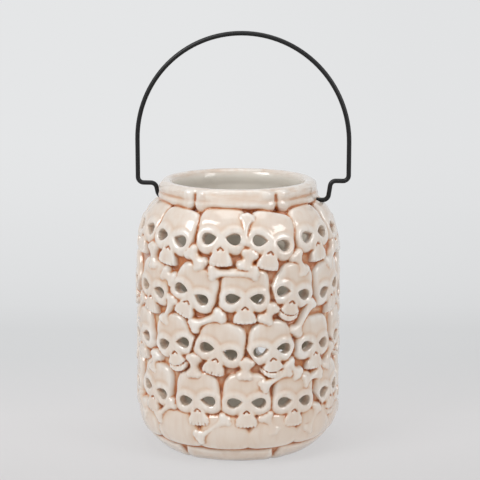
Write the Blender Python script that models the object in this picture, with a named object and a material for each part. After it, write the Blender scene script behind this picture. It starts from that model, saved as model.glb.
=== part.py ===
# A hanging lantern of slip-cast ceramic, carved all over with rows of skulls and loose bones.
# The eye sockets go right through the wall. A bail of bent wire hangs in two holes under the rim.
# Units are metres. +Z is up, the foot stands on Z = 0, and the wire's pivots lie on the X axis line.
# Angles round the body are measured from the front (-Y) towards +X.

import math

import bmesh
import bpy
import numpy as np
from mathutils import Vector
from mathutils.geometry import delaunay_2d_cdt

MM = 0.001

# The wire's pivots, in the groove under the rim: every height on the lantern follows from this one
PIVOT_HEIGHT = 182.0 * MM

# Body: the outer face at the bottom of the grooves, which the carving stands out from
WALL_RADIUS = 69.0 * MM
FOOT_RADIUS = 44.0 * MM
FOOT_RISE = 30.0 * MM
SHOULDER_RISE = 42.0 * MM
SHOULDER_START = PIVOT_HEIGHT - SHOULDER_RISE
RIM_RADIUS = 52.0 * MM
SHOULDER_SETBACK = 4.0 * MM
SHOULDER_CORE_RADIUS = RIM_RADIUS - SHOULDER_SETBACK
SHOULDER_SWEEP = math.radians(72)
RIM_RISE = 7.3 * MM
RIM_HEIGHT = PIVOT_HEIGHT + RIM_RISE
RIM_HALF_WIDTH = 5.2 * MM
RIM_HALF_HEIGHT = 6.6 * MM
RIM_START = math.radians(-65)

# Body: the inside
WALL_THICKNESS = 4.5 * MM
FLOOR_THICKNESS = 6.0 * MM
FLOOR_ROUNDING = 3.5 * MM
INNER_SKIN_START = 10.0 * MM
THROAT_DROP = 2.5 * MM
THROAT_RISE = 2.0 * MM
INNER_BULGE = 5.0 * MM
EYE_FLARE = 1.12

# Skulls, in a skull's own frame: X to its left eye, Y up, the origin between the eyes
CRANIUM_CENTRE_Y = 5.0 * MM
CRANIUM_HALF_WIDTH = 16.6 * MM
CRANIUM_TOP = 17.0 * MM
CRANIUM_BOTTOM = 10.5 * MM
CRANIUM_RELIEF = 5.8 * MM
EYE_SPACING = 15.7 * MM
EYE_HALF_WIDTH = 4.9 * MM
EYE_HALF_HEIGHT = 4.8 * MM
EYE_DROP = 0.4 * MM
EYE_TURN = math.radians(10)
SOCKET_RADIUS = 9.0 * MM
SOCKET_RELIEF = 6.5 * MM
SOCKET_HOLLOW = 2.2 * MM
MUZZLE_CENTRE_Y = -12.1 * MM
MUZZLE_HALF_WIDTH = 7.6 * MM
MUZZLE_HALF_HEIGHT = 6.8 * MM
MUZZLE_RELIEF = 6.8 * MM
NOSE_TOP_Y = -4.0 * MM
NOSE_SPREAD = 2.3 * MM
NOSE_LENGTH = 3.0 * MM
NOSE_STROKE = 1.0 * MM
NOSE_DEPTH = 3.0 * MM
JAW_CENTRE_Y = -18.0 * MM
JAW_HALF_WIDTH = 8.7 * MM
JAW_HALF_HEIGHT = 3.3 * MM
JAW_RELIEF = 5.6 * MM

# Each row of skulls: the height of its eyes as a share of the pivots' height, then one (angle, rise, tilt,
# grins) for each skull of the half that faces front. The mould's other half repeats them, half a turn round.
SKULL_ROWS = (
    (0.8929, ((-61, 2, -2, 0), (-33, -1, -7, 0), (-1.5, 1, 0, 0),
              (27.5, -2, -14, 0), (58, 0, 5, 1), (88.5, 0, -4, 0))),
    (0.6841, ((-47, 0, -9, 0), (-18, 1, -23, 1), (12, -1, -1, 0),
              (40, 1, -14, 1), (70, -1, 12, 0), (101, 0, 5, 1))),
    (0.4725, ((-61, 1, 6, 0), (-30, 2, 13, 1), (-2.5, 0, -15, 0),
              (27, 0, 4, 1), (56, -1, -2, 1), (87, 1, 8, 0))),
    (0.2665, ((-45.5, 2, -11, 1), (-15, 0, 5, 1), (12.8, 0, -1, 0),
              (41, -2, -5, 0), (71, 0, 6, 1), (102, 1, -7, 0))),
)

# Crania of a fifth row, which sink behind the foot's bones: the angle of each one's middle
LOW_CRANIA = (-28, 0, 28, 58, 88, 119)
LOW_CRANIUM_HEIGHT = 0.1180 * PIVOT_HEIGHT
LOW_CRANIUM_HALF_WIDTH = 17.0 * MM
LOW_CRANIUM_HALF_HEIGHT = 15.5 * MM
LOW_CRANIUM_RELIEF = 5.2 * MM

# Loose bones of the front half: angle and height (the same share) of the middle, length, tilt from level
LOOSE_BONES = (
    (-47, 0.8077, 20, 100), (-16, 0.8242, 18, -50), (5.5, 0.7731, 35, 0), (44.3, 0.7967, 20, -65),
    (74, 0.8022, 24, 40), (-63, 0.5934, 26, 50), (-33.4, 0.7418, 15, -27), (-33.6, 0.6099, 25, 66),
    (-9.5, 0.5852, 27, 24), (25.1, 0.6126, 17, 62), (47.1, 0.5824, 30, 56), (84, 0.6044, 26, -40),
    (-46, 0.3846, 18, 75), (-17, 0.4011, 19, 92), (12.1, 0.3956, 17, 85), (39.8, 0.3819, 18, -49),
    (54.1, 0.3352, 22, 13), (29, 0.3533, 27, 30), (70, 0.3956, 22, 62), (99, 0.3901, 24, -30),
    (-62, 0.1813, 24, -35), (-37.2, 0.2033, 25, 46), (-6.5, 0.1577, 30, 36), (25.9, 0.1758, 19, -61),
    (54.7, 0.1665, 23, 56), (87, 0.1813, 26, -42), (12.5, 0.9286, 22, 80), (13.5, 0.8242, 16, 70),
)
BONE_RADIUS = 3.2 * MM
BONE_RELIEF = 6.2 * MM
KNUCKLE_RADIUS = 3.6 * MM
KNUCKLE_OFFSET = 2.7 * MM

# How far the carving of a cranium or bone, and of a skull, can reach from its middle
BONE_REACH = 24.0 * MM
SKULL_REACH = 30.0 * MM

# Bones that lie end to end round the rim and round the foot
BAND_BONES = 6
RIM_JOINT_ANGLE = math.radians(-24)
RIM_BAND_SHARE = 0.33
RIM_BONE_RELIEF = 0.4 * MM
RIM_KNUCKLE_RELIEF = 1.0 * MM
FOOT_JOINT_ANGLE = math.radians(-28)
FOOT_BAND_HEIGHT = 5.0 * MM
FOOT_BAND_HALF_HEIGHT = 8.0 * MM
FOOT_BAND_RELIEF = 3.0 * MM
FOOT_KNUCKLE_RELIEF = 1.5 * MM
BAND_KNUCKLE_REACH = 6.5 * MM
BAND_NOTCH_HALF_WIDTH = 1.5 * MM

# Wire bail and the holes that it turns in
WIRE_RADIUS = 1.7 * MM
PIVOT_CLEARANCE = 0.6 * MM
POCKET_RADIUS = 8.5 * MM
NECK_FADE = 5.0 * MM
BAIL_SHIFT = 3.2 * MM
BAIL_END_SETBACK = 3.0 * MM
BAIL_END_RADIUS = RIM_RADIUS - BAIL_END_SETBACK
BAIL_RIGHT_LEG_GAP = 10.8 * MM
BAIL_RIGHT_LEG_SPAN = RIM_RADIUS + BAIL_RIGHT_LEG_GAP
BAIL_RIGHT_STEP_RISE = 14.2 * MM
BAIL_LEFT_LEG_GAP = 10.4 * MM
BAIL_LEFT_LEG_SPAN = RIM_RADIUS + BAIL_LEFT_LEG_GAP
BAIL_LEFT_STEP_RISE = 10.0 * MM
BAIL_LEG_LEAN = 2.2 * MM
BAIL_STEP_REACH = 25.8 * MM
BAIL_HALF_SPAN = RIM_RADIUS + BAIL_STEP_REACH
BAIL_ARCH_RISE = 42.2 * MM
BAIL_BEND_RADIUS = 4.2 * MM

# How finely the carving is cut, and the share of its triangles that is kept where they matter most
OUTER_STEP = 1.0 * MM
INNER_STEP = 5.0 * MM
KEPT_SHARE = 0.0565
EYE_SIDES = 9
RING_SIDES = 60
ARC_POINTS = 40
SEAM_ANGLE = math.radians(178)
HALF_TURN = math.pi


def ellipse_arc(centre, radii, start, end, count):
    angles = np.linspace(start, end, count)
    return np.column_stack((centre[0] + radii[0] * np.cos(angles), centre[1] + radii[1] * np.sin(angles)))


def outer_line():
    """(radius, height) along the outer face, from the foot's edge over the rim to its inner side."""
    foot = ellipse_arc(
        (FOOT_RADIUS, FOOT_RISE), (WALL_RADIUS - FOOT_RADIUS, FOOT_RISE), -math.pi / 2, 0, ARC_POINTS)
    shoulder = ellipse_arc(
        (SHOULDER_CORE_RADIUS, SHOULDER_START), (WALL_RADIUS - SHOULDER_CORE_RADIUS, SHOULDER_RISE),
        0, SHOULDER_SWEEP, ARC_POINTS)
    rim = ellipse_arc((RIM_RADIUS, RIM_HEIGHT), (RIM_HALF_WIDTH, RIM_HALF_HEIGHT), RIM_START, math.pi, 50)
    return np.vstack((foot, shoulder, rim))


LINE = outer_line()
LINE_AT = np.concatenate(([0], np.cumsum(np.hypot(*np.diff(LINE, axis=0).T))))
LINE_LENGTH = LINE_AT[-1]
SLOPE = np.gradient(LINE, LINE_AT, axis=0)
ROUND = 2 * math.pi * WALL_RADIUS


def line_point(along):
    return np.interp(along, LINE_AT, LINE[:, 0]), np.interp(along, LINE_AT, LINE[:, 1])


def line_normal(along):
    out_r = np.interp(along, LINE_AT, SLOPE[:, 1])
    out_z = -np.interp(along, LINE_AT, SLOPE[:, 0])
    length = np.hypot(out_r, out_z)
    return out_r / length, out_z / length


def along_at_height(height):
    """Where the outer face reaches a height, below the rim."""
    rising = LINE[:, 1].argmax() + 1
    return np.interp(height, LINE[:rising, 1], LINE_AT[:rising])


def wrapped(angle):
    return (angle + math.pi) % (2 * math.pi) - math.pi


def local(angle, along, middle, tilt):
    """Points round a carved piece, in its own frame: to the right and up, turned by its tilt."""
    radius, _ = line_point(along)
    right = wrapped(angle - middle[0]) * radius
    up = along - middle[1]
    cosine, sine = math.cos(tilt), math.sin(tilt)
    return right * cosine + up * sine, up * cosine - right * sine


def dome(across, sharpness, fullness):
    """Height, from 1 in the middle to 0 at the outline, where across is 1."""
    return np.clip(1 - np.abs(across) ** sharpness, 0, 1) ** fullness


def smooth_step(value):
    value = np.clip(value, 0, 1)
    return value * value * (3 - 2 * value)


def eye_across(x, y, side):
    """Distance from an eye's middle, as a share of the way to its edge."""
    x = x * side - EYE_SPACING / 2
    y = y + EYE_DROP
    cosine, sine = math.cos(EYE_TURN), math.sin(EYE_TURN)
    along, up = x * cosine - y * sine, y * cosine + x * sine
    return np.hypot(along / EYE_HALF_WIDTH, up / (EYE_HALF_HEIGHT * 0.88))


def stroke_across(x, y, start, end, radius):
    """Distance from a straight stroke, as a share of its radius."""
    run = np.subtract(end, start)
    share = np.clip(((x - start[0]) * run[0] + (y - start[1]) * run[1]) / (run @ run), 0, 1)
    return np.hypot(x - start[0] - share * run[0], y - start[1] - share * run[1]) / radius


def skull_relief(x, y, grins):
    narrowing = 1 - 0.005 * np.clip(y / MM, 0, None)
    above = y - CRANIUM_CENTRE_Y
    reach = np.where(above > 0, CRANIUM_TOP, CRANIUM_BOTTOM)
    across = (np.abs(x / (CRANIUM_HALF_WIDTH * narrowing)) ** 3.6 + np.abs(above / reach) ** 3.6) ** (1 / 3.6)
    height = CRANIUM_RELIEF * dome(across, 4, 0.55)
    for side in (-1, 1):
        socket = np.hypot(x - side * EYE_SPACING / 2, y + EYE_DROP) / SOCKET_RADIUS
        height = np.maximum(height, SOCKET_RELIEF * dome(socket, 4, 0.55))
    muzzle_width = MUZZLE_HALF_WIDTH * (1 - 0.012 * (y - MUZZLE_CENTRE_Y) / MM)
    below = (y - MUZZLE_CENTRE_Y) / MUZZLE_HALF_HEIGHT
    muzzle = (np.abs(x / muzzle_width) ** 3 + np.abs(below) ** 3) ** (1 / 3)
    height = np.maximum(height, MUZZLE_RELIEF * dome(muzzle, 4, 0.5))
    if grins:
        jaw = (np.abs(x / JAW_HALF_WIDTH) ** 3 + np.abs((y - JAW_CENTRE_Y) / JAW_HALF_HEIGHT) ** 3) ** (1 / 3)
        height = np.maximum(height, JAW_RELIEF * dome(jaw, 4, 0.5))
    for side in (-1, 1):
        height = height - SOCKET_HOLLOW * (1 - smooth_step((eye_across(x, y, side) - 1) / 0.7))
        foot_of_nose = (side * NOSE_SPREAD, NOSE_TOP_Y - NOSE_LENGTH)
        nose = stroke_across(x, y, (0, NOSE_TOP_Y), foot_of_nose, NOSE_STROKE)
        height = height - NOSE_DEPTH * dome(nose, 2, 0.7) / 2
    return height


def low_cranium_relief(x, y):
    right, up = np.abs(x / LOW_CRANIUM_HALF_WIDTH), np.abs(y / LOW_CRANIUM_HALF_HEIGHT)
    across = (right ** 3.4 + up ** 3.4) ** (1 / 3.4)
    return LOW_CRANIUM_RELIEF * dome(across, 3.5, 0.55)


def bone_relief(x, y, length):
    half = length / 2 - KNUCKLE_RADIUS
    height = dome(stroke_across(x, y, (-half, 0), (half, 0), BONE_RADIUS), 4, 0.5)
    for end in (-1, 1):
        for side in (-1, 1):
            knuckle = np.hypot(x - end * half, y - side * KNUCKLE_OFFSET) / KNUCKLE_RADIUS
            height = np.maximum(height, dome(knuckle, 4, 0.5))
    return BONE_RELIEF * height


def band_relief(angle, along, first_joint, middle, half_height, relief, knuckle_relief):
    """Bones end to end: a ridge round the body that swells at each joint and is notched there."""
    pitch = 2 * math.pi / BAND_BONES
    radius, _ = line_point(along)
    to_joint = np.abs((angle - first_joint + pitch / 2) % pitch - pitch / 2) * radius
    knuckle = dome(to_joint / BAND_KNUCKLE_REACH, 3, 0.6)
    across = (along - middle) / (half_height * (1 + 0.18 * knuckle))
    notch = 1 - 0.85 * dome(to_joint / BAND_NOTCH_HALF_WIDTH, 2, 0.7)
    return (relief + knuckle_relief * knuckle) * dome(across, 4, 0.5) * notch


RIM_BAND_FROM = LINE_AT[2 * ARC_POINTS]
RIM_BAND_MIDDLE = RIM_BAND_FROM + (LINE_LENGTH - RIM_BAND_FROM) * RIM_BAND_SHARE
FOOT_BAND_MIDDLE = along_at_height(FOOT_BAND_HEIGHT)


def skulls():
    """(angle, distance along the outer line, tilt, grins) of every skull with a face."""
    for height, places in SKULL_ROWS:
        for angle, rise, tilt, grins in places:
            middle = along_at_height(height * PIVOT_HEIGHT + rise * MM)
            for turn in (0, HALF_TURN):
                yield math.radians(angle) + turn, middle, math.radians(tilt), grins


def relief(angle, along):
    """How far the carving stands out from the outer line."""
    height = np.maximum(
        band_relief(angle, along, RIM_JOINT_ANGLE, RIM_BAND_MIDDLE,
                    RIM_BAND_MIDDLE - RIM_BAND_FROM, RIM_BONE_RELIEF, RIM_KNUCKLE_RELIEF),
        band_relief(angle, along, FOOT_JOINT_ANGLE, FOOT_BAND_MIDDLE,
                    FOOT_BAND_HALF_HEIGHT, FOOT_BAND_RELIEF, FOOT_KNUCKLE_RELIEF))
    below_rim = along < RIM_BAND_FROM

    def carve(middle, tilt, reach, shape, *settings):
        near = np.abs(wrapped(angle - middle[0])) * WALL_RADIUS < reach * 1.35
        near &= (np.abs(along - middle[1]) < reach) & below_rim
        x, y = local(angle[near], along[near], middle, tilt)
        height[near] = np.maximum(height[near], shape(x, y, *settings))

    for turn in (0, HALF_TURN):
        for low in LOW_CRANIA:
            middle = (math.radians(low) + turn, along_at_height(LOW_CRANIUM_HEIGHT))
            carve(middle, 0, BONE_REACH, low_cranium_relief)
    for skull_angle, middle, tilt, grins in skulls():
        carve((skull_angle, middle), tilt, SKULL_REACH, skull_relief, grins)
    for turn in (0, HALF_TURN):
        for bone_angle, bone_height, length, tilt in LOOSE_BONES:
            middle = (math.radians(bone_angle) + turn, along_at_height(bone_height * PIVOT_HEIGHT))
            carve(middle, math.radians(tilt), BONE_REACH, bone_relief, length * MM)
    return height * pivot_fade(angle, along) * neck_fade(along)


def pivot_fade(angle, along):
    """0 at the two pivot holes, 1 away from them, so that the wire has a flat to turn on."""
    fade = np.ones_like(along)
    for side in (-1, 1):
        x, y = local(angle, along, (side * math.pi / 2, along_at_height(PIVOT_HEIGHT)), 0)
        fade *= smooth_step(np.hypot(x, y) / POCKET_RADIUS * 1.6 - 0.6)
    return fade


def neck_fade(along):
    """Takes the carving down to nothing in the groove under the rim."""
    groove = along_at_height(PIVOT_HEIGHT)
    return smooth_step(np.abs(along - groove) / NECK_FADE)


def outer_surface(angle, along):
    radius, height = line_point(along)
    out_r, out_z = line_normal(along)
    stands = relief(angle, along)
    radius = radius + out_r * stands
    height = np.maximum(height + out_z * stands, 0)
    return np.column_stack((radius * np.sin(angle), -radius * np.cos(angle), height))


def eye_outlines():
    """The outline of every eye hole, as (angle, along) points: a teardrop that points to the nose."""
    turns = (np.arange(EYE_SIDES) + 0.0) * 2 * math.pi / EYE_SIDES
    x = -EYE_HALF_WIDTH * np.cos(turns)
    y = EYE_HALF_HEIGHT * np.sin(turns) * np.abs(np.sin(turns / 2)) ** 0.7
    cosine, sine = math.cos(EYE_TURN), math.sin(EYE_TURN)
    eye_x, eye_y = x * cosine + y * sine, y * cosine - x * sine
    for angle, middle, tilt, _ in skulls():
        for side in (-1, 1):
            right = side * (eye_x + EYE_SPACING / 2)
            up = eye_y - EYE_DROP
            along = middle + up * math.cos(tilt) + right * math.sin(tilt)
            radius, _ = line_point(along)
            yield angle + (right * math.cos(tilt) - up * math.sin(tilt)) / radius, along


def from_seam(angle):
    """Distance round the body from the seam, at the wall's radius."""
    return (angle - SEAM_ANGLE) % (2 * math.pi) * WALL_RADIUS


def spread_points(low, high, step):
    """A staggered grid of points between two levels, clear of the seam."""
    rows = max(2, round((high - low) / step))
    columns = round(ROUND / step)
    points = []
    for row in range(1, rows):
        level = low + (high - low) * row / rows
        for column in range(1, columns):
            points.append(((column + 0.5 * (row % 2)) * ROUND / (columns + 1), level))
    return points


class Skin:
    """A sheet unrolled onto the plane: its outline, its holes and the points inside, cut into triangles."""

    def __init__(self, low, high, holes, step):
        sides, seam_levels = RING_SIDES, round((high - low) / step)
        across = np.linspace(0, ROUND, sides + 1)
        levels = np.linspace(low, high, seam_levels + 1)
        self.points = [(x, low) for x in across] + [(x, high) for x in across]
        self.seam = [0] + [len(self.points) + i for i in range(seam_levels - 1)] + [sides + 1]
        self.points += [(0, y) for y in levels[1:-1]]
        self.far_seam = [sides] + [len(self.points) + i for i in range(seam_levels - 1)] + [2 * sides + 1]
        self.points += [(ROUND, y) for y in levels[1:-1]]
        self.bottom = list(range(sides + 1))
        self.top = list(range(sides + 1, 2 * sides + 2))
        self.holes = []
        for hole in holes:
            self.holes.append([len(self.points) + i for i in range(len(hole))])
            self.points += hole
        self.edges = []
        for chain in (self.bottom, self.top, self.seam, self.far_seam):
            self.edges += list(zip(chain, chain[1:]))
        for hole in self.holes:
            self.edges += list(zip(hole, hole[1:] + hole[:1]))
        self.add(spread_points(low, high, step), step * 0.4)

    def add(self, points, clearance):
        """Adds the points that lie outside the holes and clear of their edges."""
        points = np.asarray(points)
        keep = np.ones(len(points), bool)
        for hole in self.holes:
            corners = np.array([self.points[i] for i in hole])
            near = np.flatnonzero(np.hypot(*(points - corners.mean(axis=0)).T) < 2 * EYE_HALF_WIDTH)
            gap = np.full(len(near), np.inf)
            left_of = np.ones((2, len(near)), bool)
            for start, end in zip(corners, np.roll(corners, -1, axis=0)):
                run, back = end - start, points[near] - start
                turn = run[0] * back[:, 1] - run[1] * back[:, 0]
                left_of &= (turn > 0, turn < 0)
                share = np.clip(back @ run / (run @ run), 0, 1)
                gap = np.minimum(gap, np.hypot(*(back - share[:, None] * run).T))
            keep[near[left_of.any(axis=0) | (gap < clearance)]] = False
        self.points += [tuple(p) for p in points[keep]]

    def triangles(self):
        coords = [Vector(p) for p in self.points]
        _, _, faces, sources, _, _ = delaunay_2d_cdt(coords, self.edges, [], 0, 1e-7)
        source = [min(s) for s in sources]
        faces = np.array([[source[i] for i in face] for face in faces])
        hole_of = np.full(len(self.points), -1)
        for index, hole in enumerate(self.holes):
            hole_of[hole] = index
        owner = hole_of[faces]
        inside_hole = (owner[:, 0] >= 0) & (owner[:, 0] == owner[:, 1]) & (owner[:, 1] == owner[:, 2])
        faces = faces[~inside_hole]
        xy = np.array(self.points)
        a, b, c = (xy[faces[:, i]] for i in range(3))
        area = (b[:, 0] - a[:, 0]) * (c[:, 1] - a[:, 1]) - (b[:, 1] - a[:, 1]) * (c[:, 0] - a[:, 0])
        return faces[np.abs(area) > 1e-12]

    def joined(self):
        """For each point, the point that stands for it once the far seam meets the near one."""
        stands_for = np.arange(len(self.points))
        stands_for[self.far_seam] = self.seam
        return stands_for


def inner_line():
    """(radius, height) up the inside, from the floor's edge to the inner side of the rim."""
    inner_radius = WALL_RADIUS - WALL_THICKNESS
    foot = ellipse_arc(
        (FOOT_RADIUS - WALL_THICKNESS, FOOT_RISE),
        (WALL_RADIUS - FOOT_RADIUS, FOOT_RISE - FLOOR_THICKNESS), -math.pi / 2, 0, 24)
    neck_radius = RIM_RADIUS - RIM_HALF_WIDTH
    shoulder = ellipse_arc(
        (neck_radius, SHOULDER_START), (inner_radius - neck_radius, SHOULDER_RISE - WALL_THICKNESS),
        0, math.pi / 2, 24)
    return np.vstack((foot, shoulder))


INNER_LINE = inner_line()


def inner_surface(angle, height):
    """The inside, which swells outwards a little behind each skull."""
    radius = np.interp(height, INNER_LINE[:, 1], INNER_LINE[:, 0])
    along = along_at_height(height)
    swell = np.zeros_like(radius)
    for skull_angle, middle, tilt, _ in skulls():
        x, y = local(angle, along, (skull_angle, middle), tilt)
        swell = np.maximum(swell, 1 - smooth_step(np.hypot(x, y) / (EYE_SPACING * 1.15)))
    radius = radius + INNER_BULGE * swell
    return np.column_stack((radius * np.sin(angle), -radius * np.cos(angle), height))


def material(name, colour, roughness, metallic):
    made = bpy.data.materials.new(name)
    made.use_nodes = True
    shader = made.node_tree.nodes["Principled BSDF"]
    shader.inputs["Base Color"].default_value = (*colour, 1)
    shader.inputs["Roughness"].default_value = roughness
    shader.inputs["Metallic"].default_value = metallic
    return made


def lathe_rings(mesh, rings, sides):
    """Rings of vertices round the axis, from (radius, height) pairs."""
    angles = SEAM_ANGLE + np.arange(sides) * 2 * math.pi / sides
    return [[mesh.verts.new((r * math.sin(a), -r * math.cos(a), z)) for a in angles] for r, z in rings]


def bridge(mesh, first, second):
    for i in range(len(first)):
        j = (i + 1) % len(first)
        mesh.faces.new((first[i], first[j], second[j], second[i]))


def body():
    holes = []
    for angle, along in eye_outlines():
        holes.append(list(zip(from_seam(angle), along)))
    outer = Skin(0, LINE_LENGTH, holes, OUTER_STEP)

    mesh = bmesh.new()
    xy = np.array(outer.points)
    placed = outer_surface(SEAM_ANGLE + xy[:, 0] / WALL_RADIUS, xy[:, 1])
    outer_verts = skin_faces(mesh, outer, placed, False)

    low, high = FLOOR_THICKNESS + INNER_SKIN_START, PIVOT_HEIGHT - WALL_THICKNESS - THROAT_DROP
    inner_holes = []
    for hole in outer.holes:
        edge = np.column_stack((xy[hole, 0], placed[hole, 2]))
        middle = edge.mean(axis=0)
        inner_holes.append([tuple(p) for p in middle + (edge - middle) * EYE_FLARE])
    inner = Skin(low, high, inner_holes, INNER_STEP)
    xy = np.array(inner.points)
    inner_placed = inner_surface(SEAM_ANGLE + xy[:, 0] / WALL_RADIUS, xy[:, 1])
    inner_verts = skin_faces(mesh, inner, inner_placed, True)

    for outer_hole, inner_hole in zip(outer.holes, inner.holes):
        bridge(mesh, [outer_verts[i] for i in outer_hole], [inner_verts[i] for i in inner_hole])

    mouth = [outer_verts[i] for i in outer.top[:-1]]
    neck_radius = RIM_RADIUS - RIM_HALF_WIDTH
    neck_heights = (PIVOT_HEIGHT + THROAT_RISE, INNER_LINE[-1, 1])
    neck = lathe_rings(mesh, [(neck_radius, height) for height in neck_heights], RING_SIDES)
    throat = [mouth, *neck, [inner_verts[i] for i in inner.top[:-1]]]
    for first, second in zip(throat, throat[1:]):
        bridge(mesh, first, second)

    floor_heights = (FLOOR_THICKNESS + FLOOR_ROUNDING, FLOOR_THICKNESS)
    floor_radii = np.interp(floor_heights, INNER_LINE[:, 1], INNER_LINE[:, 0])
    floor = lathe_rings(mesh, list(zip(floor_radii, floor_heights)), RING_SIDES)
    basin = [[inner_verts[i] for i in inner.bottom[:-1]], *floor]
    for first, second in zip(basin, basin[1:]):
        bridge(mesh, first, second)
    mesh.faces.new(floor[-1])
    mesh.faces.new([outer_verts[i] for i in outer.bottom[:-1]])

    bmesh.ops.recalc_face_normals(mesh, faces=mesh.faces)
    bmesh.ops.triangulate(mesh, faces=mesh.faces)
    data = bpy.data.meshes.new("lantern_body")
    mesh.to_mesh(data)
    mesh.free()
    made = bpy.data.objects.new("lantern_body", data)
    bpy.context.collection.objects.link(made)
    data.materials.append(material("glazed_ceramic", (0.76, 0.68, 0.59), 0.25, 0))
    return made


def skin_faces(mesh, skin, placed, inwards):
    stands_for = skin.joined()
    verts = [mesh.verts.new(p) if stands_for[i] == i else None for i, p in enumerate(placed)]
    verts = [verts[stands_for[i]] for i in range(len(verts))]
    for a, b, c in skin.triangles():
        corners = (verts[a], verts[c], verts[b]) if inwards else (verts[a], verts[b], verts[c])
        mesh.faces.new(corners)
    return verts


def thin_out(made):
    """Drops the triangles that the carving needs least, and none from the flat foot."""
    above_foot = [v.index for v in made.data.vertices if v.co.z > 0.1 * MM]
    made.vertex_groups.new(name="above_foot").add(above_foot, 1, "REPLACE")
    fewer = made.modifiers.new("fewer_triangles", "DECIMATE")
    fewer.ratio = KEPT_SHARE
    fewer.vertex_group = "above_foot"
    fewer.vertex_group_factor = 0
    bpy.context.view_layer.objects.active = made
    bpy.ops.object.modifier_apply(modifier=fewer.name)
    for vertex in made.data.vertices:
        vertex.co.z = max(vertex.co.z, 0)
    return made


def drill_pivots(made):
    """One rod through both walls cuts both of the wire's holes."""
    bpy.ops.mesh.primitive_cylinder_add(
        vertices=12, radius=WIRE_RADIUS + PIVOT_CLEARANCE, depth=4 * WALL_RADIUS,
        location=(0, 0, PIVOT_HEIGHT), rotation=(0, math.pi / 2, 0))
    rod = bpy.context.object
    rod.name = "pivot_cutter"
    rod.hide_render = True
    rod.display_type = "WIRE"
    cut = made.modifiers.new("pivot_holes", "BOOLEAN")
    cut.operation = "DIFFERENCE"
    cut.object = rod


def rounded(corners, radius, steps):
    """A path through the corners, each turned with an arc."""
    path = [Vector(corners[0])]
    for before, corner, after in zip(corners, corners[1:], corners[2:]):
        before, corner, after = Vector(before), Vector(corner), Vector(after)
        back, on = (before - corner).normalized(), (after - corner).normalized()
        half = back.angle(on) / 2
        reach = radius / math.tan(half)
        centre = corner + (back + on).normalized() * (radius / math.sin(half))
        start, end = corner + back * reach - centre, corner + on * reach - centre
        for i in range(steps + 1):
            path.append(centre + start.slerp(end, i / steps).normalized() * radius)
    path.append(Vector(corners[-1]))
    return path


def bail_side(end, leg_span, step_rise):
    """One side of the wire, on +X: in at its hole, up the leg, out over the step and up to the arch."""
    step_height = PIVOT_HEIGHT + step_rise
    corners = (
        (end, 0, PIVOT_HEIGHT),
        (leg_span, 0, PIVOT_HEIGHT),
        (leg_span + BAIL_LEG_LEAN, 0, step_height),
        (BAIL_HALF_SPAN, 0, step_height),
        (BAIL_HALF_SPAN, 0, PIVOT_HEIGHT + BAIL_ARCH_RISE),
    )
    return rounded(corners, BAIL_BEND_RADIUS, 4)


def bail():
    """The wire handle, bent by hand: its left step is lower than its right one."""
    right = bail_side(BAIL_END_RADIUS - BAIL_SHIFT, BAIL_RIGHT_LEG_SPAN, BAIL_RIGHT_STEP_RISE)
    left = bail_side(BAIL_END_RADIUS + BAIL_SHIFT, BAIL_LEFT_LEG_SPAN, BAIL_LEFT_STEP_RISE)
    arch_height = PIVOT_HEIGHT + BAIL_ARCH_RISE
    arch_steps = 32
    arch = []
    for i in range(1, arch_steps):
        turn = math.pi * i / arch_steps
        out, up = BAIL_HALF_SPAN * math.cos(turn), BAIL_HALF_SPAN * math.sin(turn)
        arch.append(Vector((out, 0, arch_height + up)))
    left = [Vector((-p.x, 0, p.z)) for p in reversed(left)]
    path = [p + Vector((BAIL_SHIFT, 0, 0)) for p in right + arch + left]

    pivot = Vector((0, 0, PIVOT_HEIGHT))
    curve = bpy.data.curves.new("bail_handle", "CURVE")
    curve.dimensions = "3D"
    curve.bevel_depth = WIRE_RADIUS
    curve.bevel_resolution = 2
    curve.use_fill_caps = True
    spline = curve.splines.new("POLY")
    spline.points.add(len(path) - 1)
    for point, place in zip(spline.points, path):
        point.co = (*(place - pivot), 1)
    made = bpy.data.objects.new("bail_handle", curve)
    made.location = pivot
    bpy.context.collection.objects.link(made)
    curve.materials.append(material("black_wire", (0.012, 0.012, 0.013), 0.42, 0))
    return made


def main():
    for old in list(bpy.data.objects):
        bpy.data.objects.remove(old)
    drill_pivots(thin_out(body()))
    bail()


main()
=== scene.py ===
import math

import bpy
import numpy as np
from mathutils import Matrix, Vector, kdtree


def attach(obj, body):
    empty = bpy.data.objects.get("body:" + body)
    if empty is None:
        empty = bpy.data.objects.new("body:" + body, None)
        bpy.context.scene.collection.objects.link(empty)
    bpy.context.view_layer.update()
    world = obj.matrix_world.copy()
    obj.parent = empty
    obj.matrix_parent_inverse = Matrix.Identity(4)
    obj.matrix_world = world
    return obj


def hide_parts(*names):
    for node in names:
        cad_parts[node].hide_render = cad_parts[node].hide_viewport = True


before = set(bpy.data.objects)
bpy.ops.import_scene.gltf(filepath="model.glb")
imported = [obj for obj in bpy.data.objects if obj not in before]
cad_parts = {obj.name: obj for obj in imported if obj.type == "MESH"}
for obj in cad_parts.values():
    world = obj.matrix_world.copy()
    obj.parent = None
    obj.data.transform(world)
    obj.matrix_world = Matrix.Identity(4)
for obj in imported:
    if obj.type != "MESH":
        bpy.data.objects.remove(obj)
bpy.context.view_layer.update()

mm = 0.001

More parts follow.
